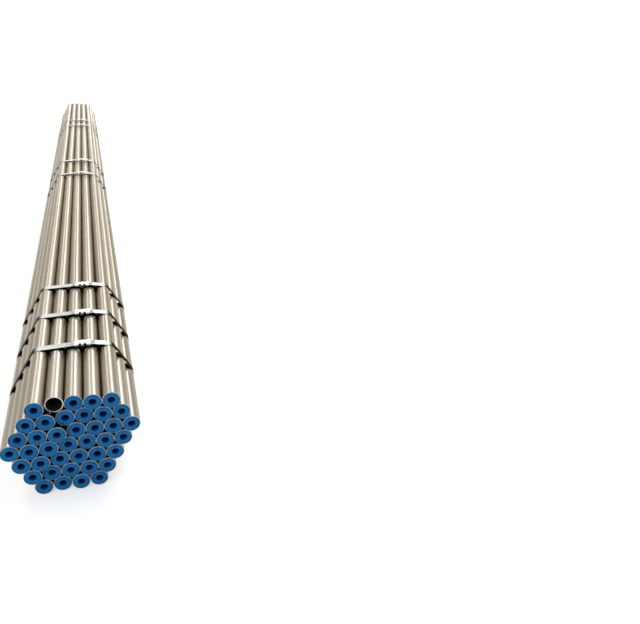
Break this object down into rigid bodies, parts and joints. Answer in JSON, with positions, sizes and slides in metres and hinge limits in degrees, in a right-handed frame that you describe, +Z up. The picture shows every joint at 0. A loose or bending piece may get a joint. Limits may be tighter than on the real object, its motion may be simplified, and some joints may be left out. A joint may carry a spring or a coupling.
{
  "type": "bundle of steel pipes",
  "caption": "Strapped bundle of long round steel pipes with push-in plastic end caps, stacked in a hexagon and held by flat steel bands with crimped seals.",
  "frame": {"origin": "on the ground, below the middle of the bundle's bounding box", "axes": "+Y along the pipes, from the near capped ends to the far ones; +Z up; +X to the right seen from the near ends"},
  "size_m": [0.322, 6.0213, 0.2811],
  "materials": {
    "pipe_steel": "bare rolled steel, dull with bright streaks along the pipe",
    "cap_plastic": "moulded blue polyethylene, satin",
    "band_steel": "galvanised banding",
    "seal_steel": "galvanised sheet, crimped"
  },
  "bodies": {
    "root": {"pipes_row_1": "pipe_steel", "pipes_row_2": "pipe_steel", "pipes_row_3": "pipe_steel", "pipes_row_4": "pipe_steel", "pipes_row_5": "pipe_steel", "pipes_row_6": "pipe_steel", "pipes_row_7": "pipe_steel", "open_pipe": "pipe_steel", "near_caps_row_1": "cap_plastic", "far_caps_row_1": "cap_plastic", "near_caps_row_2": "cap_plastic", "far_caps_row_2": "cap_plastic", "near_caps_row_3": "cap_plastic", "far_caps_row_3": "cap_plastic", "near_caps_row_4": "cap_plastic", "far_caps_row_4": "cap_plastic", "near_caps_row_5": "cap_plastic", "far_caps_row_5": "cap_plastic", "near_caps_row_6": "cap_plastic", "far_caps_row_6": "cap_plastic", "near_caps_row_7": "cap_plastic", "far_caps_row_7": "cap_plastic", "band_1": "band_steel", "seal_1": "seal_steel", "band_2": "band_steel", "seal_2": "seal_steel", "band_3": "band_steel", "seal_3": "seal_steel", "band_4": "band_steel", "seal_4": "seal_steel", "band_5": "band_steel", "seal_5": "seal_steel", "band_6": "band_steel", "seal_6": "seal_steel", "band_7": "band_steel", "seal_7": "seal_steel"}
  },
  "joints": []
}
